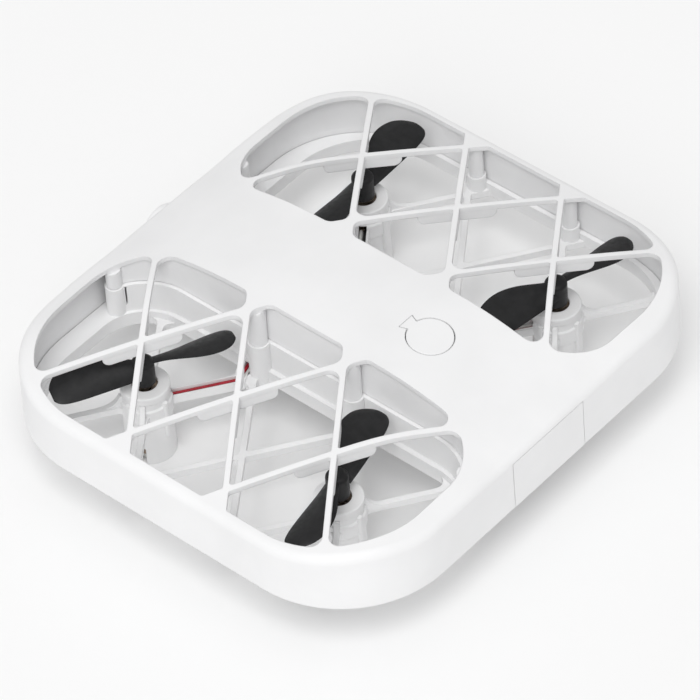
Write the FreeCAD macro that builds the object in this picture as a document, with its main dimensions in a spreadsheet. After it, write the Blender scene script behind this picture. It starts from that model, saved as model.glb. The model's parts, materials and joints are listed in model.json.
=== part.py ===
import FreeCAD, Part
import math
import os

# Mini palm drone: a flat white frame with two windows, four ducted rotors and a spine between them.
# Millimetres. +X is the drone's left, -Y its front (camera), +Z up. Z = 0 is the foot of the motor tubes.
# Shapes are drawn about the middle of the frame, and every placement adds centre_y, so that the origin
# lies under the middle of the whole object, camera hood included.

Vector = FreeCAD.Vector
UP = Vector(0, 0, 1)

DIMENSIONS = [
    # the body's outline and its crowned top
    ("body_half_x", 66.5, "outer face of the skirt at its foot"),
    ("body_half_y", 59.0, "outer face of the skirt at its foot"),
    ("body_corner", 28.5, "corner radius of the skirt in plan"),
    ("skirt_draft", 0.5, "how far the skirt leans in towards its top"),
    ("skirt_foot", 14.4, "lower edge of the skirt"),
    ("crown_top", 38.8, "highest point of the spine"),
    ("crown_drop_x", 9.9, "fall of the crown at the side edges"),
    ("crown_drop_y", 9.2, "fall of the crown at the front and rear edges"),
    ("edge_round", 2.4, "rounding between crown and skirt"),
    ("skirt_wall", 1.6, "thickness of the skirt"),
    ("skin", 1.35, "thickness of the crown and of the grille"),
    ("duct_wall", 1.2, "thickness of the spine walls"),
    # windows and grille
    ("window_in", 14.3, "edge of a window at the spine"),
    ("window_out", 63.6, "edge of a window at the side"),
    ("window_end", 53.9, "edge of a window at the front and rear"),
    ("window_corner_in", 15.0, "plan radius of the corners at the spine"),
    ("window_corner_out", 24.5, "plan radius of the corners at the side"),
    ("window_lip", 0.25, "how far a window's edge stands over the wall below it"),
    ("grille_bar", 1.4, "width of a grille bar"),
    ("web_length", 19.0, "stiffening web under a crossing"),
    ("web_depth", 2.5, "web below the skin"),
    ("node_in", 18.26, "where the bars meet beside the spine"),
    ("node_out", 59.55, "where the bars meet beside the skirt"),
    ("node_mid", 14.5, "y of the two middle rows of nodes"),
    ("node_end", 43.6, "y of the two end rows of nodes"),
    # bottom frame
    ("parting", 25.6, "top of the tray, where the two mouldings meet"),
    ("tray_lip", 0.7, "how far the tray's walls stand inside a window's edge"),
    ("tray_foot", 13.3, "underside of the spine tray"),
    ("tray_floor", 1.2, "thickness of the tray floor"),
    ("ledge_foot", 14.3, "underside of the ledge inside the skirt"),
    ("ledge_top", 17.2, "upper face of the ledge"),
    ("ledge_out", 63.4, "inner edge of the ledge at the side"),
    ("ledge_end", 52.0, "inner edge of the ledge at the front and rear"),
    ("ledge_in", 16.3, "inner edge of the ledge at the spine"),
    ("ledge_corner_in", 12.0, "plan radius of the ledge's corners at the spine"),
    ("ledge_corner_out", 22.5, "plan radius of the ledge's corners at the side"),
    ("arm_foot", 13.6, "underside of the lower lattice"),
    ("arm_top", 15.4, "upper face of the lower lattice"),
    ("arm_bar", 1.5, "width of a lower bar"),
    ("fit_gap", 0.15, "clearance between parts that slip together"),
    # rotors
    ("rotor_x", 38.95, "rotor axis from the centre line"),
    ("rotor_y", 29.4, "rotor axis from the cross line"),
    ("tube_top", 21.0, "upper ring of a motor tube"),
    ("tube_radius", 5.6, "outside of a motor tube at its ring"),
    ("tube_foot_radius", 6.1, "outside of a motor tube at its foot"),
    ("notch_turn", 25.0, "degrees from a foot notch to the drone's width"),
    ("notch_width", 1.6, "notch in the foot of a motor tube"),
    ("notch_rise", 4.4, "straight part of a notch"),
    ("wire_slot", 1.5, "width of the slot that lets the leads in"),
    ("gusset", 1.3, "thickness of the gussets between a tube and its arms"),
    ("can_radius", 4.25, "8.5 mm coreless motor"),
    ("can_foot", 1.5, "lower end of the can"),
    ("can_length", 18.3, "length of the can"),
    ("can_inside", 3.0, "room inside the can, the magnets' thickness left out"),
    ("shaft_radius", 0.5, "1 mm motor shaft"),
    ("hub_radius", 2.7, "propeller hub"),
    ("hub_foot", 21.7, "underside of the hub"),
    ("hub_top", 28.3, "top of the hub"),
    ("blade_plane", 26.6, "height of the blades"),
    ("blade_radius", 22.5, "45 mm propeller"),
    # screws and bosses
    ("boss_in", 15.9, "screw boss beside the spine"),
    ("boss_out", 62.7, "screw boss beside the skirt"),
    ("boss_y", 14.3, "screw bosses from the cross line"),
    ("step_in", 25.4, "where an upper boss stands on the lower one, beside the spine"),
    ("step_out", 19.5, "where an upper boss stands on the lower one, beside the skirt"),
    ("upper_in", 2.2, "radius of an upper boss beside the spine"),
    ("upper_out", 1.8, "radius of an upper boss beside the skirt"),
    ("lower_in", 2.7, "radius of a lower boss beside the spine"),
    ("lower_out", 2.3, "radius of a lower boss beside the skirt"),
    ("seat_depth", 3.0, "screw head's seat below the joint of its boss"),
    ("end_post_x", 22.6, "plain posts by the front and rear walls"),
    ("end_post_y", 53.2, "plain posts from the cross line"),
    ("end_post_radius", 1.9, "plain post"),
    ("slot_x", 20.6, "slot through the tray's curved wall, beside a plain post"),
    ("slot_y", 52.0, "slot from the cross line"),
    ("slot_width", 0.4, "slot in the tray's wall"),
    ("screw_radius", 0.75, "1.5 mm self-tapping screw"),
    # wire leads
    ("lead_radius", 0.38, "insulated motor lead"),
    ("lead_level", 14.9, "leads in the wire channel"),
    ("channel_width", 3.0, "wire channel outside"),
    ("channel_top", 15.9, "rim of the wire channel"),
    ("turn_x", 21.0, "where the channel turns beside the boss"),
    ("entry_y", 19.0, "where the leads pass the tray wall"),
    # power button
    ("button_y", 24.6, "middle of the power button"),
    ("button_radius", 5.5, "power button"),
    ("button_gap", 0.22, "gap round the power button"),
    ("button_neck", 7.2, "hinge line of the button from its middle"),
    # battery
    ("door_half", 12.4, "half width of the battery door"),
    ("door_foot", 13.9, "lower edge of the battery door"),
    ("door_top", 27.9, "upper edge of the battery door"),
    ("case_half", 9.5, "half width of the battery drawer"),
    ("case_foot", 14.8, "underside of the battery drawer"),
    ("case_tall", 9.8, "height of the battery drawer"),
    ("case_front", 14.0, "front end of the battery drawer"),
    # board and camera
    ("board_half_x", 12.5, "half width of the main board"),
    ("board_front", -31.0, "front edge of the main board"),
    ("board_rear", 43.0, "rear edge of the main board"),
    ("board_level", 27.7, "underside of the main board"),
    ("board_thick", 1.0, "thickness of the main board"),
    ("hood_radius", 6.5, "camera hood"),
    ("hood_reach", 0.9, "how far the hood stands out of the front"),
    ("hood_level", 23.2, "axis of the camera at the hood's front"),
    ("hood_tilt", 6.0, "degrees the camera's axis rises towards the rear"),
    ("centre_y", 0.45, "half of hood_reach: from the frame's middle to the origin"),
]
CROWN_POWER_X = 1.68
CROWN_POWER_Y = 2.75
CROWN_BLEND = 4.0

doc = FreeCAD.newDocument("palm_drone")
sheet = doc.addObject("Spreadsheet::Sheet", "dims")
for row, (alias, value, note) in enumerate(DIMENSIONS, start=1):
    sheet.set(f"A{row}", alias)
    sheet.set(f"B{row}", str(value))
    sheet.set(f"C{row}", note)
    sheet.setAlias(f"B{row}", alias)
doc.recompute()

CORNERS = [("front_left", 1, -1), ("front_right", -1, -1), ("rear_left", 1, 1), ("rear_right", -1, 1)]
SUB_PARTS = []


def dim(alias):
    """A driving dimension from the sheet."""
    return float(sheet.get(alias))


def keep(obj, label):
    """Names an object as a sub-part that is written out."""
    obj.Label = label
    SUB_PARTS.append(obj)
    return obj


def place(obj, x="0", y="0", z="0"):
    """Binds a primitive's position to the sheet."""
    obj.setExpression("Placement.Base.x", x)
    obj.setExpression("Placement.Base.y", f"({y}) + dims.centre_y")
    obj.setExpression("Placement.Base.z", z)
    return obj


def cylinder(name, radius, height, x, y, z):
    """An upright cylinder bound to the sheet."""
    obj = doc.addObject("Part::Cylinder", name)
    obj.setExpression("Radius", radius)
    obj.setExpression("Height", height)
    return place(obj, x, y, z)


def box(name, size, x, y, z):
    """A box bound to the sheet: x and y are its middle, z its underside."""
    obj = doc.addObject("Part::Box", name)
    for side, length in zip(("Length", "Width", "Height"), size):
        obj.setExpression(side, length)
    return place(obj, f"({x}) - ({size[0]}) / 2", f"({y}) - ({size[1]}) / 2", z)


def combine(kind, name, base, tool):
    """A boolean of two document objects."""
    obj = doc.addObject(f"Part::{kind}", name)
    obj.Base = base
    obj.Tool = tool
    return obj


def fillet_all(name, base, radius, chosen):
    """A Part::Fillet on the edges of base that chosen(edge) picks."""
    doc.recompute()
    obj = doc.addObject("Part::Fillet", name)
    obj.Base = base
    obj.Edges = [(i + 1, radius, radius) for i, edge in enumerate(base.Shape.Edges) if chosen(edge)]
    return obj


def feature(label, shape):
    """A sub-part whose shape is worked out here. Its size comes from the sheet, its place from centre_y."""
    obj = doc.addObject("Part::Feature", label)
    obj.Shape = shape.removeSplitter()
    obj.Placement = FreeCAD.Placement(Vector(0, dim("centre_y"), 0), FreeCAD.Rotation())
    return keep(obj, label)


# ---------------------------------------------------------------- plan outlines


def rounded_outline(x_low, x_high, half_y, r_low, r_high, z):
    """A closed wire: a rectangle in plan with corner radius r_low at x_low and r_high at x_high."""
    corners = [(x_high, 1, r_high, 0), (x_low, 1, r_low, 90)]
    corners += [(x_low, -1, r_low, 180), (x_high, -1, r_high, 270)]
    edges = []
    last = None
    first = None
    for x, sign, radius, start in corners:
        inward = -1 if start in (0, 270) else 1
        middle = Vector(x + inward * radius, sign * (half_y - radius), z)
        arc = []
        for turn in (start, start + 45, start + 90):
            angle = math.radians(turn)
            arc.append(middle + Vector(radius * math.cos(angle), radius * math.sin(angle), 0))
        if last is not None and (arc[0] - last).Length > 1e-6:
            edges.append(Part.LineSegment(last, arc[0]).toShape())
        edges.append(Part.Arc(*arc).toShape())
        first = first or arc[0]
        last = arc[2]
    edges.append(Part.LineSegment(last, first).toShape())
    return Part.Wire(edges)


def body_prism(inset, z_low, z_high):
    """The body's outline as a solid, leaning in by the skirt's draft over its height, moved in by inset."""
    rise = dim("crown_top") - dim("skirt_foot")
    rings = []
    for z in (z_low, z_high):
        moved = inset + dim("skirt_draft") * (z - dim("skirt_foot")) / rise
        half_x = dim("body_half_x") - moved
        radius = dim("body_corner") - moved
        rings.append(rounded_outline(-half_x, half_x, dim("body_half_y") - moved, radius, radius, z))
    return Part.makeLoft(rings, True, True)


def upright(wire, height):
    """The solid above a flat closed wire."""
    return Part.Face(wire).extrude(Vector(0, 0, height))


def window_prism(grow, z_low, z_high):
    """One window (+X side) of the top shell as a solid, its outline moved out by grow."""
    wire = rounded_outline(
        dim("window_in") - grow, dim("window_out") + grow, dim("window_end") + grow,
        dim("window_corner_in") + grow, dim("window_corner_out") + grow, z_low)
    return upright(wire, z_high - z_low)


def ledge_prism(grow, z_low, z_high):
    """One opening (+X side) of the bottom frame as a solid, its outline moved out by grow."""
    wire = rounded_outline(
        dim("ledge_in") - grow, dim("ledge_out") + grow, dim("ledge_end") + grow,
        dim("ledge_corner_in") + grow, dim("ledge_corner_out") + grow, z_low)
    return upright(wire, z_high - z_low)


def both_sides(shape):
    """A shape of the +X side and its mirror image."""
    return [shape, shape.mirror(Vector(), Vector(1, 0, 0))]


def four_corners(shape):
    """A shape of the +X, +Y corner, and its three mirror images."""
    rear = both_sides(shape)
    return rear + [one.mirror(Vector(), Vector(0, 1, 0)) for one in rear]


def slab(x_low, x_high, y_low, y_high, z_low, z_high):
    """A box by its limits."""
    return Part.makeBox(x_high - x_low, y_high - y_low, z_high - z_low, Vector(x_low, y_low, z_low))


# ---------------------------------------------------------------- the crown


def crown_height(x, y):
    """Height of the crowned top: it falls away to the sides and to the ends, whichever is more."""
    fall_x = dim("crown_drop_x") * (abs(x) / dim("body_half_x")) ** CROWN_POWER_X
    fall_y = dim("crown_drop_y") * (abs(y) / dim("body_half_y")) ** CROWN_POWER_Y
    return dim("crown_top") - (fall_x ** CROWN_BLEND + fall_y ** CROWN_BLEND) ** (1 / CROWN_BLEND)


def crown_surface():
    """The top as one smooth surface, a little larger than the body."""
    reach_x = dim("body_half_x") + 4
    reach_y = dim("body_half_y") + 4
    steps_x = 16
    steps_y = 14
    grid = []
    for i in range(steps_x + 1):
        x = reach_x * (2 * i / steps_x - 1)
        grid.append([])
        for j in range(steps_y + 1):
            y = reach_y * (2 * j / steps_y - 1)
            grid[-1].append(Vector(x, y, crown_height(x, y)))
    surface = Part.BSplineSurface()
    surface.interpolate(grid)
    return surface.toShape()


CROWN = crown_surface()


def below_crown(depth, thickness=60):
    """The solid that lies under the crown, from depth below it."""
    face = CROWN.copy()
    face.translate(Vector(0, 0, -depth))
    return face.extrude(Vector(0, 0, -thickness))


# ---------------------------------------------------------------- the lattice


def bar_lines():
    """The six bars of one side, each from a node beside the spine to a node beside the skirt."""
    rows = [-dim("node_end"), -dim("node_mid"), dim("node_mid"), dim("node_end")]
    lines = []
    for here, there in zip(rows[:-1], rows[1:]):
        lines.append(((dim("node_in"), here), (dim("node_out"), there)))
        lines.append(((dim("node_in"), there), (dim("node_out"), here)))
    return lines


def bar_prism(start, end, width, beyond, z_low, z_high):
    """An upright-sided straight bar that runs on past both its ends."""
    along = Vector(end[0] - start[0], end[1] - start[1], 0)
    length = along.Length + 2 * beyond
    along.normalize()
    bar = Part.makeBox(length, width, z_high - z_low, Vector(-beyond, -width / 2, 0))
    bar.rotate(Vector(), UP, math.degrees(math.atan2(along.y, along.x)))
    bar.translate(Vector(start[0], start[1], z_low))
    return bar


def lattice_gussets(z_low, z_high):
    """Wedges that fill the acute corner between two bars where they reach an edge."""
    wedges = []
    slope = (dim("node_end") - dim("node_mid")) / (dim("node_out") - dim("node_in"))
    for x, beyond in ((dim("node_in"), -8), (dim("node_out"), 8)):
        for y in (-dim("node_mid"), dim("node_mid")):
            spread = abs(beyond) * slope
            corners = [Vector(x, y, z_low), Vector(x + beyond, y - spread, z_low)]
            corners += [Vector(x + beyond, y + spread, z_low), Vector(x, y, z_low)]
            wedges.append(upright(Part.makePolygon(corners), z_high - z_low))
    return wedges


def rounded_cell(cell, at_crossing, beside_skirt, elsewhere, over_rotor):
    """Rounds a lattice cell's upright edges: least at the crossings, most beside the spine."""
    radii = {}
    for edge in cell.Edges:
        low, high = edge.BoundBox.ZMin, edge.BoundBox.ZMax
        if high - low < cell.BoundBox.ZLength - 1e-3 or edge.Curve.TypeId != "Part::GeomLine":
            continue
        x, y = edge.CenterOfMass.x, abs(edge.CenterOfMass.y)
        if math.hypot(x - dim("rotor_x"), y - dim("rotor_y")) < 8:
            radius = over_rotor
        elif dim("node_in") + 6 < x < dim("node_out") - 6 and y < dim("node_end"):
            radius = at_crossing
        elif x > dim("node_out") - 6 and y < dim("node_end") - 12:
            radius = beside_skirt
        else:
            radius = elsewhere
        radii.setdefault(radius, []).append(edge)
    for radius, edges in radii.items():
        for edge in edges:
            match = find_edge(cell, edge)
            if match is None:
                continue
            try:
                rounded = cell.makeFillet(radius, [match])
            except Part.OCCError:
                continue
            if rounded.isValid() and 0 < rounded.Volume <= cell.Volume:
                cell = rounded
    return cell


def find_edge(solid, wanted):
    """The edge of solid with the middle of the wanted one, or None."""
    for edge in solid.Edges:
        if (edge.CenterOfMass - wanted.CenterOfMass).Length < 1e-4:
            return edge
    return None


def lattice_cells(opening, width, keep_out, radii):
    """The open cells of one side: the opening less its bars, gussets and whatever stands in it."""
    z_low, z_high = opening.BoundBox.ZMin, opening.BoundBox.ZMax
    solid = [bar_prism(a, b, width, 12, z_low - 1, z_high + 1) for a, b in bar_lines()]
    solid += lattice_gussets(z_low - 1, z_high + 1) + keep_out
    left = opening.cut(solid[0].multiFuse(solid[1:]))
    return [rounded_cell(cell, *radii) for cell in left.Solids if cell.Volume > 20 * (z_high - z_low)]


def crossing_webs():
    """Deep ribs under both bars of each grille crossing of one side, with rounded lower corners."""
    band = below_crown(0.4, dim("skin") + dim("web_depth") - 0.4)
    webs = []
    half = dim("web_length") / 2
    for start, end in bar_lines():
        middle = Vector((start[0] + end[0]) / 2, (start[1] + end[1]) / 2, 0)
        along = Vector(end[0] - start[0], end[1] - start[1], 0).normalize()
        low = middle - along * half
        high = middle + along * half
        web = bar_prism((low.x, low.y), (high.x, high.y), dim("grille_bar") - 0.1, 0, 20, 45).common(band)
        ends = []
        for edge in web.Edges:
            far = (Vector(edge.CenterOfMass.x, edge.CenterOfMass.y, 0) - middle).Length > half - 0.1
            flat = edge.BoundBox.ZLength < 1.0 and edge.Length < 2.5
            lower = edge.CenterOfMass.z < crown_height(edge.CenterOfMass.x, edge.CenterOfMass.y) - 2
            if far and flat and lower:
                ends.append(edge)
        webs.append(web.makeFillet(1.8, ends))
    return webs


# ---------------------------------------------------------------- the two mouldings


def screw_bosses():
    """The eight screw bosses: x, y, height of the joint, radius above it and radius below it."""
    bosses = []
    for place in ("in", "out"):
        sizes = (dim(f"step_{place}"), dim(f"upper_{place}"), dim(f"lower_{place}"))
        for side in (1, -1):
            for end in (1, -1):
                bosses.append((side * dim(f"boss_{place}"), end * dim("boss_y")) + sizes)
    return bosses


def end_posts():
    """Plan positions of the four plain posts by the front and rear walls."""
    return [(side * dim("end_post_x"), end * dim("end_post_y")) for side in (1, -1) for end in (1, -1)]


def pillar(x, y, radius, z_low, z_high):
    """An upright round solid."""
    return Part.makeCylinder(radius, z_high - z_low, Vector(x, y, z_low))


def hood_front():
    """The y of the hood's front face."""
    return -dim("body_half_y") - dim("hood_reach")


def camera_barrel(radius, y_front, length):
    """A round solid on the camera's axis, which rises a little towards the rear."""
    tilt = math.radians(dim("hood_tilt"))
    rise = (y_front - hood_front()) * math.tan(tilt)
    start = Vector(0, y_front, dim("hood_level") + rise)
    return Part.makeCylinder(radius, length, start, Vector(0, math.cos(tilt), math.sin(tilt)))


def keyhole(grow, z_low, z_high):
    """The button's outline as a solid: a disc with a short neck that flares towards the front."""
    y = dim("button_y")
    disc = pillar(0, y, dim("button_radius") + grow, z_low, z_high)
    hinge = y - dim("button_neck") - grow / 2
    neck_near = 1.5 + grow
    neck_far = 2.2 + grow
    points = [(-neck_near, y - 3), (-neck_near, y - 5.4), (-neck_far, hinge), (neck_far, hinge)]
    points += [(neck_near, y - 5.4), (neck_near, y - 3)]
    corners = [Vector(px, py, z_low) for px, py in points]
    return disc.fuse(upright(Part.makePolygon(corners + corners[:1]), z_high - z_low))


def duct_walls(prism, recess, x_limit, z_low, z_high):
    """The wall that follows one opening along the spine and round its inner corners."""
    band = prism(recess + dim("duct_wall"), z_low, z_high).cut(prism(recess, z_low - 1, z_high + 1))
    return band.common(slab(0, x_limit, -60, 60, z_low, z_high))


def top_shell_shape():
    """Crowned top, skirt, grille, webs, spine walls, upper bosses and camera hood, as one moulding."""
    high = dim("crown_top") + 6
    wall = dim("skirt_wall")
    body = body_prism(0, dim("skirt_foot"), high).common(below_crown(0))
    crown_face = [face for face in body.Faces if face.Surface.TypeId == "Part::GeomBSplineSurface"][0]
    body = body.makeFillet(dim("edge_round"), crown_face.Edges)
    front = hood_front()
    hood = camera_barrel(dim("hood_radius"), front - 2, 16)
    hood = hood.cut(slab(-20, 20, front - 10, front, 0, 60))
    rim = [edge for edge in hood.Edges if edge.BoundBox.YLength < 0.01 and edge.BoundBox.YMin < front + 0.01]
    hood = hood.makeFillet(1.3, rim)
    cavity = body_prism(wall, dim("skirt_foot") - 1, high).common(below_crown(dim("skin")))
    hood_hollow = camera_barrel(dim("hood_radius") - 1.3, front + 1.3, 12)
    shell = body.fuse(hood).cut(cavity).cut(hood_hollow)
    shell = shell.cut(camera_barrel(4.75, front - 2, 8))
    inside = body_prism(0.5, dim("skirt_foot"), high).common(below_crown(0.3))
    extras = []
    for side in both_sides(duct_walls(window_prism, dim("window_lip"), 24, dim("parting"), 45)):
        extras.append(side.common(inside))
    for x, y, step, upper, lower in screw_bosses():
        extras.append(pillar(x, y, upper, step, 45).common(inside))
    for x, y in end_posts():
        extras.append(pillar(x, y, dim("end_post_radius"), dim("parting"), 45).common(inside))
    shell = shell.fuse(extras)
    openings = []
    for cell in lattice_cells(window_prism(0, 26.0, 45), dim("grille_bar"), [], (0.5, 0.7, 2.6, 0.5)):
        openings += both_sides(cell)
    skin_only = below_crown(-5, dim("skin") + 5.6)
    openings = [cell.common(skin_only) for cell in openings]
    shell = shell.cut(openings)
    webs = []
    for web in crossing_webs():
        webs += both_sides(web)
    shell = shell.fuse(webs)
    for x, y, step, upper, lower in screw_bosses():
        shell = shell.cut(pillar(x, y, dim("screw_radius") + 0.03, step - 1, step + 5.1))
    shell = shell.cut(keyhole(dim("button_gap"), 30, 45))
    gap = dim("fit_gap")
    door_cut = slab(-dim("door_half") - gap, dim("door_half") + gap, 54, 62, 10, dim("door_top") + gap)
    return shell.cut(door_cut)


def channel_route(side, end):
    """Plan points of a wire channel, from the motor's axis to inside the tray."""
    x0, y0 = side * dim("rotor_x"), end * dim("rotor_y")
    slope = (dim("rotor_y") - dim("node_mid")) / (dim("rotor_x") - dim("node_in"))
    turn_y = dim("rotor_y") - slope * (dim("rotor_x") - dim("turn_x"))
    return [(x0, y0), (side * dim("turn_x"), end * turn_y), (side * 12.0, end * dim("entry_y"))]


def motor_tube(x, y):
    """One motor tube: tapered, with a ring at the top, a band at the arms and small ribs."""
    tube = Part.makeCone(dim("tube_foot_radius"), dim("tube_radius"), dim("tube_top"), Vector(x, y, 0))
    bands = [(dim("tube_radius") + 0.3, dim("tube_top") - 2.2, dim("tube_top"), 0.4),
             (dim("tube_radius") + 0.6, dim("arm_foot") - 1.1, dim("arm_top") + 1.6, 0.55)]
    for radius, low, high, round_off in bands:
        band = pillar(x, y, radius, low, high)
        rims = [edge for edge in band.Edges if edge.BoundBox.ZLength < 0.01]
        tube = tube.fuse(band.makeFillet(round_off, rims))
    for turn in (0, 90, 180, 270):
        rib = slab(4.8, dim("tube_radius") + 0.95, -0.7, 0.7, 7.5, 18)
        rib = rib.makeFillet(0.5, [edge for edge in rib.Edges if edge.CenterOfMass.x > 6 and edge.Length > 2])
        rib.rotate(Vector(), UP, turn)
        rib.translate(Vector(x, y, 0))
        tube = tube.fuse(rib)
    return tube.fuse(tube_gussets(x, y))


def tube_gussets(x, y):
    """Hollow-edged gussets that stand on the three arms which carry no leads."""
    high = dim("tube_top") - 2.4
    low = dim("arm_top")
    hollow = Part.Arc(Vector(6.2, 0, high), Vector(7.7, 0, low + 1.2), Vector(11.5, 0, low)).toShape()
    base = Part.makePolygon([Vector(11.5, 0, low), Vector(11.5, 0, low - 1), Vector(5, 0, low - 1),
                             Vector(5, 0, high), Vector(6.2, 0, high)])
    profile = Part.Face(Part.Wire([hollow] + base.Edges))
    half = dim("gusset") / 2
    gussets = []
    slope = math.degrees(math.atan2(dim("node_end") - dim("node_mid"), dim("node_out") - dim("node_in")))
    wire_slot_turn = math.degrees(math.atan2(-y, -x)) % 360
    for angle in (slope, 180 - slope, 180 + slope, 360 - slope):
        if abs(angle - wire_slot_turn) < 30:
            continue
        gusset = profile.extrude(Vector(0, 2 * half, 0))
        gusset.translate(Vector(0, -half, 0))
        gusset.rotate(Vector(), UP, angle)
        gusset.translate(Vector(x, y, 0))
        gussets.append(gusset)
    return gussets


def tube_bore(x, y):
    """The room for a motor, and the arched notches in the foot of its tube, save where the leads enter."""
    cuts = [pillar(x, y, dim("can_radius") + 0.06, -1, dim("tube_top") - 1.0)]
    cuts.append(pillar(x, y, 3.1, 5, dim("tube_top") + 1))
    half = dim("notch_width") / 2
    rise = dim("notch_rise")
    turn = dim("notch_turn")
    wire_slot_turn = math.degrees(math.atan2(-y, -x)) % 360
    for angle in (turn, 180 - turn, 180 + turn, 360 - turn):
        if abs(angle - wire_slot_turn) < 30:
            continue
        notch = slab(3, 8, -half, half, -1, rise)
        notch = notch.fuse(Part.makeCylinder(half, 5, Vector(3, 0, rise), Vector(1, 0, 0)))
        notch.rotate(Vector(), UP, angle)
        notch.translate(Vector(x, y, 0))
        cuts.append(notch)
    return cuts


def channel_pieces(side, end):
    """A wire channel's solid, and the cuts for its groove and for the leads' room beside the motor."""
    route = channel_route(side, end)
    low, high = dim("arm_foot"), dim("channel_top")
    width = dim("channel_width")
    body = bar_prism(route[0], route[1], width, 0, low, high)
    body = body.fuse(bar_prism(route[1], (side * dim("ledge_in"), route[2][1]), width, 1.2, low, high))
    groove = bar_prism(route[0], route[1], width - 1.1, 0.3, dim("lead_level") - 0.6, high + 1)
    groove = groove.fuse(bar_prism(route[1], route[2], width - 1.1, 0.3, dim("lead_level") - 0.6, high + 0.4))
    along = Vector(route[1][0] - route[0][0], route[1][1] - route[0][1], 0).normalize()
    pocket_end = (route[0][0] + 5.25 * along.x, route[0][1] + 5.25 * along.y)
    pocket = bar_prism(route[0], pocket_end, 2.2, 0, -1, high + 0.4)
    slot_end = (route[0][0] + 8 * along.x, route[0][1] + 8 * along.y)
    slot = bar_prism(route[0], slot_end, dim("wire_slot"), 0, -1, low - 0.2)
    return body, [groove, pocket, slot]


def bottom_frame_shape():
    """Ledge, spine tray, lower lattice, motor tubes, wire channels and lower bosses, as one moulding."""
    inset = dim("skirt_wall") + dim("fit_gap")
    high = dim("parting")
    within = body_prism(inset, 0, high + 2)
    ledge = within.common(slab(-70, 70, -70, 70, dim("ledge_foot"), dim("ledge_top")))
    tray = within.common(slab(-27, 27, -70, 70, dim("tray_foot"), dim("tray_foot") + dim("tray_floor")))
    opening = both_sides(ledge_prism(0, 5, high + 5))
    frame = ledge.fuse(tray).cut(opening)
    middle = dim("window_in") + dim("tray_lip") - dim("duct_wall")
    frame = frame.cut(slab(-middle, middle, -50, 70, dim("tray_foot") + dim("tray_floor"), 40))
    walls = duct_walls(window_prism, -dim("tray_lip"), 24, dim("tray_foot"), high - dim("fit_gap"))
    frame = frame.fuse([wall.common(within) for wall in both_sides(walls)])
    tubes = []
    for _, side, end in CORNERS:
        tubes.append(motor_tube(side * dim("rotor_x"), end * dim("rotor_y")))
    plates = both_sides(ledge_prism(0.6, dim("arm_foot"), dim("arm_top")))
    stand = [pillar(dim("rotor_x"), end * dim("rotor_y"), dim("tube_radius") + 0.2, 5, 30) for end in (1, -1)]
    cells = lattice_cells(ledge_prism(0, dim("arm_foot") - 1, dim("arm_top") + 1), dim("arm_bar"), stand,
                          (0.6, 0.7, 2.2, 2.4))
    frame = frame.fuse(plates)
    lower_cells = []
    for cell in cells:
        lower_cells += both_sides(cell)
    frame = frame.cut(lower_cells)
    frame = frame.fuse(tubes)
    cuts = []
    for _, side, end in CORNERS:
        cuts += tube_bore(side * dim("rotor_x"), end * dim("rotor_y"))
        body, grooves = channel_pieces(side, end)
        frame = frame.fuse(body)
        cuts += grooves
    bosses = []
    for x, y, step, upper, lower in screw_bosses():
        bosses.append(pillar(x, y, lower, dim("tray_foot"), step).common(within))
        cuts.append(pillar(x, y, upper + dim("fit_gap"), step, 40))
        cuts.append(pillar(x, y, dim("screw_radius") + 0.25, 10, 30))
        cuts.append(pillar(x, y, 1.8, 10, step - dim("seat_depth")))
    for x, y in end_posts():
        foot = pillar(x, y, dim("end_post_radius") + 0.4, dim("ledge_foot"), high - dim("fit_gap"))
        bosses.append(foot.common(within))
    cuts += wall_slots()
    posts = []
    for x, y in board_posts():
        posts.append(pillar(x, y, 1.3, dim("tray_foot"), dim("board_level")))
        cuts.append(pillar(x, y, 0.58, dim("board_level") - 6, 40))
    cradle_y = hood_front() + 9
    posts.append(slab(-6, 6, cradle_y, cradle_y + 1.6, dim("tray_foot"), dim("hood_level") - 4.85))
    gap = dim("fit_gap")
    door_half = dim("door_half") + gap
    cuts.append(slab(-door_half, door_half, dim("body_half_y") - 3.2, 62, dim("door_foot") - gap, 40))
    return frame.fuse(bosses + posts).cut(cuts)


def wall_slots():
    """Narrow upright slots through the tray's curved walls, one beside each plain post."""
    x, y = dim("slot_x"), dim("slot_y")
    middle_x = dim("window_in") + dim("window_corner_in")
    middle_y = dim("window_end") - dim("window_corner_in")
    slot = slab(-2.5, 1.2, -dim("slot_width") / 2, dim("slot_width") / 2, 19.5, dim("parting") - 0.5)
    slot.rotate(Vector(), UP, math.degrees(math.atan2(y - middle_y, x - middle_x)))
    slot.translate(Vector(x, y, 0))
    return four_corners(slot)


def board_posts():
    """Plan positions of the four posts that carry the main board."""
    return [(side * x, y) for x, y in ((10.8, -27.5), (11.3, 39.8)) for side in (1, -1)]


def button_shape():
    """The power button: a tongue of the crown's own skin with a post under its middle."""
    tongue = keyhole(0, 30, 45).common(below_crown(0, dim("skin")))
    edges = [edge for edge in tongue.Edges if edge.CenterOfMass.z > crown_height(0, dim("button_y")) - 0.7]
    edges = [edge for edge in edges if edge.Curve.TypeId != "Part::GeomLine" and edge.Length > 8]
    try:
        softened = tongue.makeFillet(0.2, edges)
        tongue = softened if softened.isValid() else tongue
    except Part.OCCError:
        pass
    post_foot = dim("board_level") + dim("board_thick") + 3.6
    return tongue.fuse(pillar(0, dim("button_y"), 1.2, post_foot, 37))


# ---------------------------------------------------------------- rotors


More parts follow.
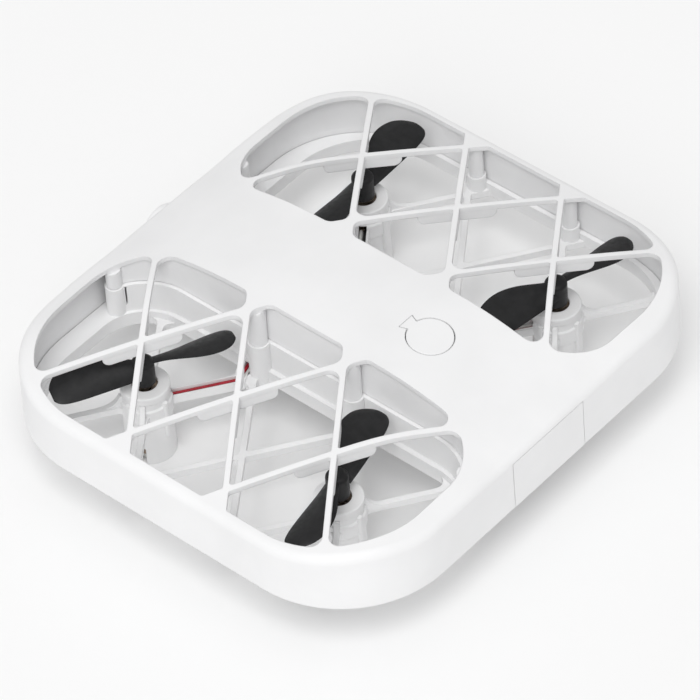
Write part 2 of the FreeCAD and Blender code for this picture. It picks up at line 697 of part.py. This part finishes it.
def blade_section(radius, chord, pitch_deg, sweep, thick, z):
    """A closed, cambered blade section across the blade at a radius along +X."""
    pitch = math.radians(pitch_deg)
    upper = []
    lower = []
    for i in range(9):
        along = i / 8
        bulge = math.sin(math.pi * along) ** 0.7
        across = (along - 0.5) * chord + sweep
        camber = 0.06 * chord * math.sin(math.pi * along)
        for points, offset in ((upper, thick / 2), (lower, -thick / 2)):
            rise = camber + offset * bulge
            y = across * math.cos(pitch) - rise * math.sin(pitch)
            up = across * math.sin(pitch) + rise * math.cos(pitch)
            points.append(Vector(radius, y, z + up))
    top = Part.BSplineCurve()
    top.interpolate(upper)
    bottom = Part.BSplineCurve()
    bottom.interpolate(lower)
    return Part.Wire([top.toShape(), bottom.toShape()])


def propeller_shape(hand):
    """Two twisted blades with a straight lower edge and rounded tips, on a hub. hand is 1 or -1."""
    reach = dim("blade_radius")
    plane = dim("blade_plane")
    stations = [(1.4, 5.0, 38, -0.7, 1.5), (4.0, 6.2, 34, -0.2, 1.3), (7.5, 8.0, 29, 0.6, 1.1),
                (11.0, 9.4, 24, 1.2, 1.0), (14.5, 10.0, 20, 1.4, 0.9), (17.5, 9.6, 17, 1.2, 0.8),
                (19.8, 8.4, 15, 0.8, 0.7), (21.5, 6.2, 13.5, 0.3, 0.55), (reach, 3.4, 13, 0.0, 0.35)]
    wires = [blade_section(r, chord, hand * pitch, hand * sweep, thick, plane)
             for r, chord, pitch, sweep, thick in stations]
    blade = Part.makeLoft(wires, True, False)
    other = blade.copy()
    other.rotate(Vector(), UP, 180)
    hub = pillar(0, 0, dim("hub_radius"), dim("hub_foot"), dim("hub_top"))
    top_edges = [edge for edge in hub.Edges if edge.BoundBox.ZMin > dim("hub_top") - 0.01]
    hub = hub.makeFillet(1.1, top_edges)
    whole = hub.fuse([blade, other])
    whole = whole.cut(pillar(0, 0, dim("shaft_radius") + 0.02, dim("hub_foot") - 1, dim("hub_foot") + 4.6))
    return whole


def add_rotors():
    """Propellers, shafts, cans and end caps of the four rotors."""
    rest_turn = {"front_left": 153.8, "front_right": 4.0, "rear_left": 15.0, "rear_right": 171.4}
    for name, side, end in CORNERS:
        x = f"{side} * dims.rotor_x"
        y = f"{end} * dims.rotor_y"
        shape = propeller_shape(side * end)
        shape.rotate(Vector(), UP, rest_turn[name])
        shape.translate(Vector(side * dim("rotor_x"), end * dim("rotor_y"), 0))
        feature(f"propeller_{name}", shape)
        foot = "dims.can_foot + 6"
        shaft = cylinder(f"shaft_{name}", "dims.shaft_radius", f"dims.hub_foot + 4.5 - ({foot})", x, y, foot)
        keep(shaft, f"motor_shaft_{name}")
        add_can(name, x, y)
        cap = cylinder(f"cap_{name}", "dims.can_radius - 0.1", "1.1", x, y, "dims.can_foot - 1.15")
        keep(cap, f"motor_cap_{name}")


def add_can(name, x, y):
    """A motor's can: a thick-walled cup, open at its foot, with a hole for the shaft."""
    foot = "dims.can_foot"
    can = cylinder(f"can_body_{name}", "dims.can_radius", "dims.can_length", x, y, foot)
    can = fillet_all(f"can_round_{name}", can, 0.5, lambda edge: edge.CenterOfMass.z > dim("can_foot") + 10
                     and edge.BoundBox.ZLength < 0.01)
    inside = cylinder(f"can_inside_{name}", "dims.can_inside", "dims.can_length - 1.3", x, y, foot)
    cup = combine("Cut", f"can_cup_{name}", can, inside)
    hole = cylinder(f"can_hole_{name}", "dims.shaft_radius + 0.05", "dims.can_length", x, y, f"{foot} + 5.9")
    keep(combine("Cut", f"can_{name}", cup, hole), f"motor_can_{name}")


def rounded_path(points, radius):
    """A wire of straight runs joined by tangent arcs of one radius."""
    edges = []
    last = points[0]
    for before, here, after in zip(points[:-2], points[1:-1], points[2:]):
        back = (before - here).normalize()
        onward = (after - here).normalize()
        half = back.getAngle(onward) / 2
        reach = radius / math.tan(half)
        start = here + back * reach
        stop = here + onward * reach
        to_middle = (back + onward).normalize() * (radius / math.sin(half))
        middle = here + to_middle - (back + onward).normalize() * radius
        edges.append(Part.LineSegment(last, start).toShape())
        edges.append(Part.Arc(start, middle, stop).toShape())
        last = stop
    edges.append(Part.LineSegment(last, points[-1]).toShape())
    return Part.Wire(edges)


def lead_shape(side, end, offset):
    """One motor lead: up inside the tube, along the channel, through the tray wall, up to the board."""
    axis, corner, stop = [Vector(x, y, 0) for x, y in channel_route(side, end)]
    first = (corner - axis).normalize()
    second = (stop - corner).normalize()
    beside_first = Vector(-first.y, first.x, 0)
    beside_second = Vector(-second.y, second.x, 0)
    level = dim("lead_level")
    start = axis + first * 4.82 + beside_first * offset
    turn = corner + (beside_first + beside_second) * (offset / (1 + beside_first.dot(beside_second)))
    inner = stop + beside_second * offset
    points = [start + UP * 1.2, start + UP * level, turn + UP * level, inner + UP * level]
    points.append(inner + UP * (dim("board_level") - 0.05))
    path = rounded_path(points, 1.1)
    circle = Part.Wire([Part.makeCircle(dim("lead_radius"), points[0], UP)])
    return path.makePipeShell([circle], True, False)


# ---------------------------------------------------------------- electronics


def add_electronics():
    """Chips, switch, sockets and the small pieces on the main board, as bound boxes and cylinders."""
    top = "dims.board_level + dims.board_thick"
    under = "dims.board_level"
    keep(box("chip", ("7", "7", "0.9"), "0", "-4", top), "flight_chip")
    keep(box("shield", ("11", "9", "1.6"), "0", "-19", top), "radio_shield")
    keep(box("gyro", ("3", "3", "0.9"), "0", "5", top), "gyro_chip")
    keep(box("light", ("1.6", "0.8", "0.7"), "0", "34", top), "status_led")
    switch = box("switch_block", ("4.2", "4.2", "2.4"), "0", "dims.button_y", top)
    well = cylinder("switch_well", "0.95", "2", "0", "dims.button_y", f"{top} + 1.2")
    keep(combine("Cut", "switch", switch, well), "power_switch")
    keep(cylinder("plunger", "0.9", "1.7", "0", "dims.button_y", f"{top} + 1.8"), "switch_plunger")
    drivers = []
    for name, side, end in CORNERS:
        driver = box(f"driver_{name}", ("3", "2.4", "1"), f"{side} * 9", f"{end} * 12", top)
        drivers.append(driver)
    group = doc.addObject("Part::Compound", "drivers")
    group.Links = drivers
    keep(group, "motor_drivers")
    keep(cylinder("capacitor_can", "1.6", "2.1", "8", "-24", f"{under} - 2.15"), "capacitor")
    keep(box("socket", ("7", "4", "6.4"), "0", "dims.case_front - 3.8", "dims.tray_foot + dims.tray_floor"),
         "battery_socket")
    keep(box("aerial", ("0.8", "16", "0.8"), "-9.6", "dims.board_front - 8", under), "antenna")


def sketch_on_xy(body, name):
    """A sketch on the body's own XY plane."""
    sketch = body.newObject("Sketcher::SketchObject", name)
    plane = [item for item in body.Origin.OriginFeatures if item.Role == "XY_Plane"][0]
    sketch.AttachmentSupport = [(plane, "")]
    sketch.MapMode = "FlatFace"
    return sketch


def add_rectangle(sketch, x_low, x_high, y_low, y_high):
    """A closed rectangle in a sketch."""
    points = [(x_low, y_low), (x_high, y_low), (x_high, y_high), (x_low, y_high)]
    for (ax, ay), (bx, by) in zip(points, points[1:] + points[:1]):
        sketch.addGeometry(Part.LineSegment(Vector(ax, ay, 0), Vector(bx, by, 0)), False)


def bind_body(body, z_expression):
    """Places a body at a level from the sheet."""
    body.setExpression("Placement.Base.y", "dims.centre_y")
    body.setExpression("Placement.Base.z", z_expression)


def main_board_body():
    """The main board: a padded outline with four screw holes pocketed through it."""
    body = doc.addObject("PartDesign::Body", "main_board_body")
    outline = sketch_on_xy(body, "board_outline")
    half = dim("board_half_x")
    add_rectangle(outline, -half, half, dim("board_front"), dim("board_rear"))
    pad = body.newObject("PartDesign::Pad", "board_pad")
    pad.Profile = outline
    pad.setExpression("Length", "dims.board_thick")
    doc.recompute()
    solid = pad.Shape.Volume
    holes = sketch_on_xy(body, "board_holes")
    for x, y in board_posts():
        holes.addGeometry(Part.Circle(Vector(x, y, 0), UP, 0.85), False)
    pocket = body.newObject("PartDesign::Pocket", "board_pocket")
    pocket.Profile = holes
    pocket.Type = 1
    pocket.Midplane = True
    doc.recompute()
    assert pocket.Shape.Volume < solid - 1
    bind_body(body, "dims.board_level")
    return keep(body, "main_board")


def battery_case_shape():
    """The battery drawer: an open tray with an end plate that lies flush in the rear of the skirt."""
    low, tall = dim("case_foot"), dim("case_tall")
    half, front = dim("case_half"), dim("case_front")
    rear = dim("body_half_y")
    tray = slab(-half, half, front, rear - 2, low, low + tall)
    tray = tray.cut(slab(-half + 0.9, half - 0.9, front + 0.9, rear - 3.2, low + 0.9, low + tall + 1))
    tray = tray.cut(slab(-3, 3, front - 1, front + 2, low + 2.6, low + 6.6))
    door_half = dim("door_half")
    plate = slab(-door_half, door_half, rear - 3.0, rear + 1, dim("door_foot"), dim("door_top"))
    plate = plate.common(body_prism(0, 0, 45))
    bottom = [edge for edge in plate.Edges if abs(edge.CenterOfMass.z - dim("door_foot")) < 0.01
              and edge.CenterOfMass.y > rear - 0.5]
    plate = plate.makeFillet(0.6, bottom)
    return tray.fuse(plate)


def battery_cell_object():
    """The pouch cell, a box with rounded long edges."""
    length = "dims.body_half_y - 3.6 - dims.case_front - 2.2"
    cell = box("cell_block", ("2 * dims.case_half - 2.4", length, "dims.case_tall - 1.6"), "0",
               "(dims.body_half_y - 3.6 + dims.case_front) / 2 + 0.9", "dims.case_foot + 1.0")
    rounded = fillet_all("cell_round", cell, 1.6, lambda edge: edge.BoundBox.YLength > 10)
    return keep(rounded, "battery_cell")


def battery_plug_shape():
    """Two contact blades on a block at the drawer's front end."""
    y, z = dim("case_front"), dim("case_foot") + 3.4
    block = slab(-2.7, 2.7, y + 0.15, y + 1.2, z, z + 2.6)
    blades = [slab(x - 0.35, x + 0.35, y - 1.5, y + 0.2, z + 0.8, z + 1.8) for x in (-1.4, 1.4)]
    return block.fuse(blades)


def add_camera():
    """Camera housing, lens, trim ring, sensor board and ribbon on the camera's axis."""
    front = hood_front()
    housing = camera_barrel(4.6, front + 1.35, 7.3).cut(camera_barrel(3.3, front, 3.4))
    feature("camera_housing", housing)
    ring = camera_barrel(4.55, front + 0.7, 0.6).cut(camera_barrel(3.4, front - 1, 4))
    feature("camera_ring", ring)
    lens = camera_barrel(3.2, front + 1.0, 2.2)
    lens_rim = [edge for edge in lens.Edges if edge.BoundBox.YMax < front + 1.4 and edge.Length > 10]
    feature("camera_lens", lens.makeFillet(0.6, lens_rim))
    low = dim("hood_level") - 4.8
    feature("camera_board", slab(-5.5, 5.5, front + 9.3, front + 10.2, low, low + 11))
    y = front + 10.25
    z = dim("board_level") + dim("board_thick") + 0.05
    points = [(y, low + 2), (y + 0.3, low + 2), (y + 0.3, z)]
    points += [(dim("board_front") + 3, z), (dim("board_front") + 3, z + 0.3)]
    points += [(y, z + 0.3)]
    corners = [Vector(-2.5, py, pz) for py, pz in points]
    ribbon = Part.Face(Part.makePolygon(corners + corners[:1])).extrude(Vector(5, 0, 0))
    feature("camera_ribbon", ribbon)


def screw(x, y, z_head, length, radius, head_radius):
    """A pan-head screw with a cross slot, driven upwards from below."""
    head = pillar(x, y, head_radius, z_head - 1.2, z_head)
    lower_rim = [edge for edge in head.Edges if edge.BoundBox.ZMax < z_head - 1.1]
    head = head.makeFillet(0.4, lower_rim)
    for half_x, half_y in ((0.95, 0.22), (0.22, 0.95)):
        head = head.cut(slab(x - half_x, x + half_x, y - half_y, y + half_y, z_head - 2, z_head - 0.6))
    return head.fuse(pillar(x, y, radius, z_head - 0.1, z_head + length))


def add_screws():
    """Case screws from below, and board screws from above."""
    screws = []
    for x, y, step, upper, lower in screw_bosses():
        screws.append(screw(x, y, step - dim("seat_depth"), 7.4, dim("screw_radius"), 1.6))
    feature("case_screws", Part.makeCompound(screws))
    level = dim("board_level") + dim("board_thick")
    board = []
    for x, y in board_posts():
        one = screw(x, y, 0, 4, 0.55, 1.25)
        one.rotate(Vector(x, y, 0), Vector(1, 0, 0), 180)
        one.translate(Vector(0, 0, level))
        board.append(one)
    feature("board_screws", Part.makeCompound(board))


# ---------------------------------------------------------------- build


def build():
    """Makes every sub-part."""
    feature("top_shell", top_shell_shape())
    feature("bottom_frame", bottom_frame_shape())
    feature("power_button", button_shape())
    add_rotors()
    for name, side, end in CORNERS:
        live = "red" if side * end < 0 else "black"
        feature(f"motor_lead_{live}_{name}", lead_shape(side, end, 0.45))
        feature(f"motor_lead_white_{name}", lead_shape(side, end, -0.45))
    main_board_body()
    add_electronics()
    feature("battery_case", battery_case_shape())
    battery_cell_object()
    feature("battery_plug", battery_plug_shape())
    add_camera()
    add_screws()


def write():
    """Checks the document, then writes one STEP file per sub-part."""
    doc.recompute()
    for obj in doc.Objects:
        if "Invalid" in obj.State or "Error" in obj.State:
            raise RuntimeError(f"{obj.Label} failed: {obj.State}")
    os.makedirs("parts", exist_ok=True)
    for obj in SUB_PARTS:
        if obj.Shape.isNull() or not obj.Shape.isValid():
            raise RuntimeError(f"{obj.Label} has no valid shape")
        obj.Shape.exportStep(f"parts/{obj.Label}.step")
        limits = obj.Shape.BoundBox
        print(f"{obj.Label}: {len(obj.Shape.Solids)} solid(s), {obj.Shape.Volume:.1f} mm3, "
              f"x {limits.XMin:.2f}..{limits.XMax:.2f} y {limits.YMin:.2f}..{limits.YMax:.2f} "
              f"z {limits.ZMin:.2f}..{limits.ZMax:.2f}")


build()
write()
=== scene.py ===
import json
import math

import bpy
from mathutils import Matrix, Vector

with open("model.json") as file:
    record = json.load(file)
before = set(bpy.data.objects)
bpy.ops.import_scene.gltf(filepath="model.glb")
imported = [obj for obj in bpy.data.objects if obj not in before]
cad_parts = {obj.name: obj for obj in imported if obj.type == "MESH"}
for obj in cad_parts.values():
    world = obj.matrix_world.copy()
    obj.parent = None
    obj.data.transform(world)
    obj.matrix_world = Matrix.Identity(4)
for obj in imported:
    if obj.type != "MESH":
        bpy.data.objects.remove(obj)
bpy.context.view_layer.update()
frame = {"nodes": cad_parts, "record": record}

# Mini palm drone. Metres, in the CAD model's frame: +Z up, -Y the drone's front, +X its left.

NODES = frame["nodes"]
MM = 0.001
WHITE = (0.88, 0.88, 0.885)
FRAME_WHITE = (0.89, 0.89, 0.893)
FLOOR_PALE = (0.93, 0.93, 0.93, 1)
FLOOR_HALF = 3.0
FLOOR_DROP = 0.02 * MM


# ---------------------------------------------------------------- shader helpers


class Shader:
    """A material's node tree, with short calls for the nodes that the materials below share."""

    def __init__(self, name):
        self.material = bpy.data.materials.new(name)
        self.material.use_nodes = True
        self.tree = self.material.node_tree
        self.tree.nodes.clear()
        self.surface = self.tree.nodes.new("ShaderNodeBsdfPrincipled")
        output = self.tree.nodes.new("ShaderNodeOutputMaterial")
        self.link(self.surface.outputs["BSDF"], output.inputs["Surface"])
        self.coords = self.tree.nodes.new("ShaderNodeTexCoord").outputs["Object"]

    def link(self, source, target):
        """Joins two sockets."""
        self.tree.links.new(source, target)

    def set(self, **values):
        """Constants on the surface shader's own sockets: roughness=0.4 sets "Roughness"."""
        for name, value in values.items():
            self.surface.inputs[name.replace("_", " ").title().replace("Ior", "IOR")].default_value = value

    def noise(self, size_mm, detail=3.0, stretch=(1, 1, 1)):
        """Noise whose features are about size_mm across."""
        mapping = self.tree.nodes.new("ShaderNodeMapping")
        mapping.inputs["Scale"].default_value = stretch
        self.link(self.coords, mapping.inputs["Vector"])
        node = self.tree.nodes.new("ShaderNodeTexNoise")
        node.inputs["Scale"].default_value = 1 / (size_mm * MM)
        node.inputs["Detail"].default_value = detail
        self.link(mapping.outputs["Vector"], node.inputs["Vector"])
        return node.outputs["Fac"]

    def spread(self, factor, low, high, start=0.3, end=0.7):
        """A factor mapped to the range low..high."""
        node = self.tree.nodes.new("ShaderNodeMapRange")
        node.inputs["From Min"].default_value = start
        node.inputs["From Max"].default_value = end
        node.inputs["To Min"].default_value = low
        node.inputs["To Max"].default_value = high
        self.link(factor, node.inputs["Value"])
        return node.outputs["Result"]

    def blend(self, factor, first, second):
        """A colour between two others. Each is an RGB triple or a socket."""
        node = self.tree.nodes.new("ShaderNodeMix")
        node.data_type = "RGBA"
        self.link(factor, node.inputs["Factor"])
        for value, socket in ((first, node.inputs[6]), (second, node.inputs[7])):
            if isinstance(value, tuple):
                socket.default_value = (*value, 1)
            else:
                self.link(value, socket)
        return node.outputs[2]

    def colour(self, source):
        """The base colour from a socket."""
        self.link(source, self.surface.inputs["Base Color"])

    def roughness(self, source):
        """Roughness from a socket."""
        self.link(source, self.surface.inputs["Roughness"])

    def relief(self, layers, edge_mm=0.0):
        """Bump from (height socket, depth in mm) layers, over softened edges."""
        normal = None
        if edge_mm:
            bevel = self.tree.nodes.new("ShaderNodeBevel")
            bevel.samples = 4
            bevel.inputs["Radius"].default_value = edge_mm * MM
            normal = bevel.outputs["Normal"]
        for height, depth_mm in layers:
            bump = self.tree.nodes.new("ShaderNodeBump")
            bump.inputs["Strength"].default_value = 1.0
            bump.inputs["Distance"].default_value = depth_mm * MM
            self.link(height, bump.inputs["Height"])
            if normal is not None:
                self.link(normal, bump.inputs["Normal"])
            normal = bump.outputs["Normal"]
        self.link(normal, self.surface.inputs["Normal"])


# ---------------------------------------------------------------- materials


def moulded(name, colour, rough=(0.36, 0.5), grain_mm=0.35, grain_depth=0.006, edge_mm=0.0, shade=0.96):
    """Injection-moulded plastic: fine spark-eroded grain, slight flow marks, uneven sheen."""
    s = Shader(name)
    cloud = s.noise(14, 4)
    darker = tuple(channel * shade for channel in colour)
    s.colour(s.blend(s.spread(cloud, 0, 1), darker, colour))
    s.roughness(s.spread(s.noise(3.0, 5), rough[0], rough[1]))
    s.surface.inputs["Specular IOR Level"].default_value = 0.35
    s.relief([(s.noise(9, 2), 0.02), (s.noise(grain_mm, 2), grain_depth)], edge_mm)
    return s.material


def propeller_material(name):
    """Near-black nylon with a satin sheen, finely brushed by handling."""
    s = Shader(name)
    s.colour(s.blend(s.spread(s.noise(2.5, 5), 0, 1), (0.009, 0.009, 0.0095), (0.016, 0.016, 0.017)))
    s.surface.inputs["Specular IOR Level"].default_value = 0.3
    s.roughness(s.spread(s.noise(1.2, 4), 0.40, 0.56))
    s.relief([(s.noise(5, 2), 0.02), (s.noise(0.3, 2), 0.006)], 0.12)
    return s.material


def metal(name, colour, rough=(0.25, 0.4), stretch=(1, 1, 14)):
    """Drawn or plated metal with fine lines along it."""
    s = Shader(name)
    lines = s.noise(0.9, 4, stretch)
    s.set(metallic=1.0)
    darker = tuple(channel * 0.8 for channel in colour)
    s.colour(s.blend(s.spread(lines, 0, 1), darker, colour))
    s.roughness(s.spread(lines, rough[0], rough[1]))
    s.relief([(lines, 0.004)], 0.05)
    return s.material


def insulation(name, colour):
    """Soft wire insulation, a little uneven in colour and sheen."""
    s = Shader(name)
    darker = tuple(channel * 0.82 for channel in colour)
    s.colour(s.blend(s.spread(s.noise(2, 3), 0, 1), darker, colour))
    s.roughness(s.spread(s.noise(0.8, 3), 0.38, 0.55))
    s.relief([(s.noise(0.6, 2), 0.01)])
    return s.material


def circuit_board(name):
    """Solder mask over copper tracks."""
    s = Shader(name)
    tracks = s.tree.nodes.new("ShaderNodeTexBrick")
    tracks.inputs["Scale"].default_value = 260
    tracks.inputs["Mortar Size"].default_value = 0.03
    s.link(s.coords, tracks.inputs["Vector"])
    mask = s.blend(s.spread(s.noise(6, 3), 0, 1), (0.012, 0.11, 0.045), (0.02, 0.16, 0.07))
    s.colour(s.blend(tracks.outputs["Fac"], mask, (0.05, 0.26, 0.11)))
    s.roughness(s.spread(s.noise(1.5, 3), 0.22, 0.38))
    s.relief([(tracks.outputs["Fac"], 0.03)])
    return s.material


def lens_material(name):
    """Coated glass over a dark barrel, with a faint violet cast."""
    s = Shader(name)
    s.colour(s.blend(s.spread(s.noise(4, 2), 0, 1), (0.004, 0.004, 0.006), (0.012, 0.01, 0.02)))
    s.set(coat_weight=1.0, coat_roughness=0.03)
    s.roughness(s.spread(s.noise(2, 2), 0.05, 0.1))
    s.relief([(s.noise(3, 1), 0.002)])
    return s.material


def foil(name):
    """The crinkled foil of a pouch cell."""
    s = Shader(name)
    s.set(metallic=1.0)
    crinkle = s.noise(3, 6)
    s.colour(s.blend(s.spread(crinkle, 0, 1), (0.5, 0.51, 0.53), (0.68, 0.69, 0.71)))
    s.roughness(s.spread(crinkle, 0.28, 0.48))
    s.relief([(crinkle, 0.15)])
    return s.material


def make_materials():
    """One material for each of the record's slots."""
    return {
        "shell_white": moulded("shell_white", WHITE, edge_mm=0.35),
        "frame_white": moulded("frame_white", FRAME_WHITE, edge_mm=0.25),
        "button_white": moulded("button_white", WHITE, edge_mm=0.15),
        "case_white": moulded("case_white", WHITE, edge_mm=0.2),
        "propeller_black": propeller_material("propeller_black"),
        "shaft_steel": metal("shaft_steel", (0.6, 0.6, 0.6)),
        "can_metal": metal("can_metal", (0.42, 0.33, 0.26)),
        "cap_white": moulded("cap_white", (0.74, 0.74, 0.72)),
        "lead_red": insulation("lead_red", (0.46, 0.012, 0.03)),
        "lead_black": insulation("lead_black", (0.012, 0.012, 0.013)),
        "lead_white": insulation("lead_white", (0.75, 0.75, 0.73)),
        "board_green": circuit_board("board_green"),
        "chip_black": moulded("chip_black", (0.02, 0.02, 0.021), (0.5, 0.65), 0.2, 0.01, 0.05, 0.8),
        "shield_metal": metal("shield_metal", (0.66, 0.66, 0.67), stretch=(1, 10, 1)),
        "led_clear": moulded("led_clear", (0.8, 0.8, 0.72), (0.1, 0.2), 1.0, 0.002),
        "switch_black": moulded("switch_black", (0.03, 0.03, 0.03), (0.45, 0.6), 0.25, 0.008, 0.08, 0.8),
        "plunger_white": moulded("plunger_white", (0.75, 0.75, 0.72)),
        "capacitor_metal": metal("capacitor_metal", (0.6, 0.6, 0.62)),
        "socket_white": moulded("socket_white", (0.72, 0.71, 0.66), edge_mm=0.1),
        "cell_foil": foil("cell_foil"),
        "contact_brass": metal("contact_brass", (0.72, 0.5, 0.2)),
        "antenna_black": insulation("antenna_black", (0.02, 0.02, 0.02)),
        "camera_black": moulded("camera_black", (0.015, 0.015, 0.016), (0.5, 0.65), 0.3, 0.01, 0.1, 0.8),
        "ring_black": moulded("ring_black", (0.012, 0.012, 0.013), (0.2, 0.3), 0.5, 0.003, 0.1, 0.8),
        "lens_glass": lens_material("lens_glass"),
        "ribbon_orange": moulded("ribbon_orange", (0.4, 0.15, 0.03), (0.25, 0.35), 2.0, 0.004, 0, 0.85),
        "screw_steel": metal("screw_steel", (0.5, 0.5, 0.51), stretch=(1, 1, 1)),
    }


def dress_nodes(materials):
    """Gives each CAD node its slot's material."""
    for part in frame["record"]["subparts"]:
        node = NODES[part["node"]]
        material = materials[part["material_slot"]]
        if not node.material_slots:
            node.data.materials.append(material)
        for slot in node.material_slots:
            slot.material = material


# ---------------------------------------------------------------- studio


def floor_material():
    """Plain pale paper, the same all over."""
    material = bpy.data.materials.new("floor_paper")
    material.use_nodes = True
    surface = material.node_tree.nodes["Principled BSDF"].inputs
    surface["Base Color"].default_value = FLOOR_PALE
    surface["Roughness"].default_value = 0.85
    surface["Specular IOR Level"].default_value = 0.1
    return material


def add_floor():
    """A pale floor that the drone stands on."""
    mesh = bpy.data.meshes.new("floor")
    corners = [(FLOOR_HALF * x, FLOOR_HALF * y, 0) for x, y in ((-1, -1), (1, -1), (1, 1), (-1, 1))]
    mesh.from_pydata(corners, [], [(0, 1, 2, 3)])
    floor = bpy.data.objects.new("floor", mesh)
    bpy.context.scene.collection.objects.link(floor)
    floor.location.z = -FLOOR_DROP
    mesh.materials.append(floor_material())


def add_light(name, position, size, power, target=(0, 0, 0.02)):
    """A square soft light that faces the target."""
    data = bpy.data.lights.new(name, "AREA")
    data.shape = "SQUARE"
    data.size = size
    data.energy = power
    light = bpy.data.objects.new(name, data)
    bpy.context.scene.collection.objects.link(light)
    light.location = position
    light.rotation_euler = (Vector(target) - Vector(position)).to_track_quat("-Z", "Y").to_euler()


def add_overhead(direction, strength, spread_deg):
    """A soft light from a direction, as even as a very large distant box."""
    data = bpy.data.lights.new("overhead", "SUN")
    data.energy = strength
    data.angle = math.radians(spread_deg)
    light = bpy.data.objects.new("overhead", data)
    bpy.context.scene.collection.objects.link(light)
    light.location = direction
    light.rotation_euler = Vector(direction).to_track_quat("Z", "Y").to_euler()


def add_studio():
    """Soft overhead box, a fill from the viewer's side and an even white surround."""
    world = bpy.data.worlds.new("studio")
    bpy.context.scene.world = world
    world.use_nodes = True
    surround = world.node_tree.nodes["Background"].inputs
    surround["Color"].default_value = (1, 1, 1, 1)
    surround["Strength"].default_value = 0.56
    add_overhead((0.5, 0.35, 1.25), 1.2, 36)
    add_light("side_fill", (2.1, 0.9, 1.92), 1.8, 17)


def add_camera():
    """A long lens from behind and to the drone's left, 45 degrees up, held slightly rolled."""
    azimuth = math.radians(133.404)
    elevation = math.radians(44.984)
    roll = math.radians(-4.12)
    target = Vector((15.07, 14.07, 38.8)) * MM
    distance = 1233.7 * MM
    back = Vector((math.sin(azimuth) * math.cos(elevation), -math.cos(azimuth) * math.cos(elevation),
                   math.sin(elevation)))
    right = (-back).cross(Vector((0, 0, 1))).normalized()
    up = right.cross(-back)
    across = math.cos(roll) * right + math.sin(roll) * up
    upward = -math.sin(roll) * right + math.cos(roll) * up
    data = bpy.data.cameras.new("camera")
    data.lens = 280.5
    data.sensor_width = 36
    camera = bpy.data.objects.new("camera", data)
    bpy.context.scene.collection.objects.link(camera)
    turn = Matrix((across, upward, back)).transposed().to_4x4()
    camera.matrix_world = Matrix.Translation(target + back * distance) @ turn
    bpy.context.scene.camera = camera


add_camera()
add_floor()
add_studio()
dress_nodes(make_materials())
bpy.context.scene.view_settings.view_transform = "Standard"
